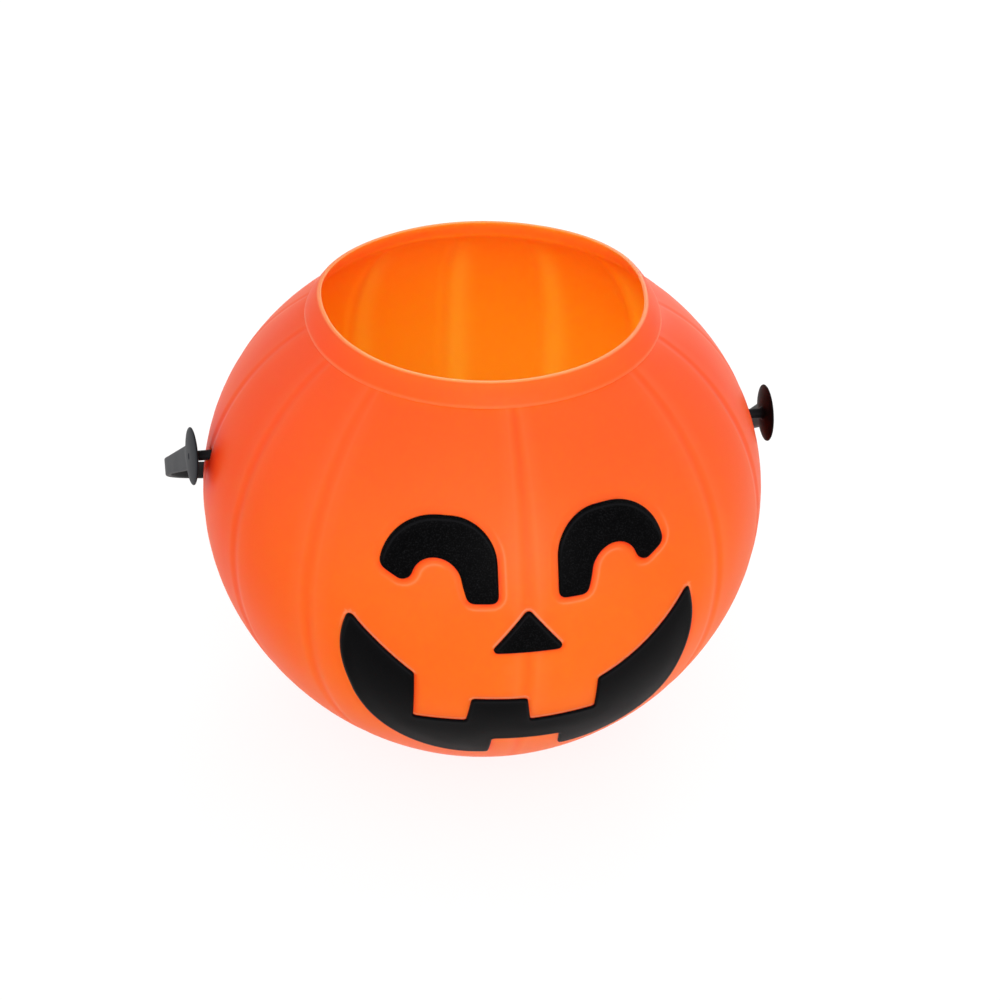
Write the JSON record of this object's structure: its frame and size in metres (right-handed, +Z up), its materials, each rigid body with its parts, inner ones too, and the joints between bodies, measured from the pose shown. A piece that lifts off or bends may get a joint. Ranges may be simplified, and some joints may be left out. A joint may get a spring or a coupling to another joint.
{
  "type": "pumpkin candy pail",
  "caption": "Round hollow pumpkin pail in orange plastic with lobed sides, a raised black jack-o'-lantern face, an open collar at the top and a swinging black strap handle.",
  "frame": {"origin": "middle of the flat base that the pail stands on", "axes": "+Z up along the pail's axis, -Y out of the middle of the face, +X towards the ear on the right of someone who looks at the face"},
  "size_m": [0.223, 0.2533, 0.1631],
  "materials": {
    "orange_shell": "satin blow-moulded polyethylene, slightly see-through",
    "face_paint": "semi-gloss black paint on the raised figures",
    "black_handle": "satin injection-moulded polyethylene"
  },
  "bodies": {
    "pail": {"pail_shell": "orange_shell", "left_eye": "face_paint", "right_eye": "face_paint", "nose": "face_paint", "mouth": "face_paint"},
    "handle": {"bail_handle": "black_handle"}
  },
  "joints": [
    {"name": "handle_swing", "type": "hinge", "parent": "pail", "child": "handle", "pos_m": [0, 0, 0.1069], "axis": [1, 0, 0], "range_deg": [0, 249.6]}
  ]
}
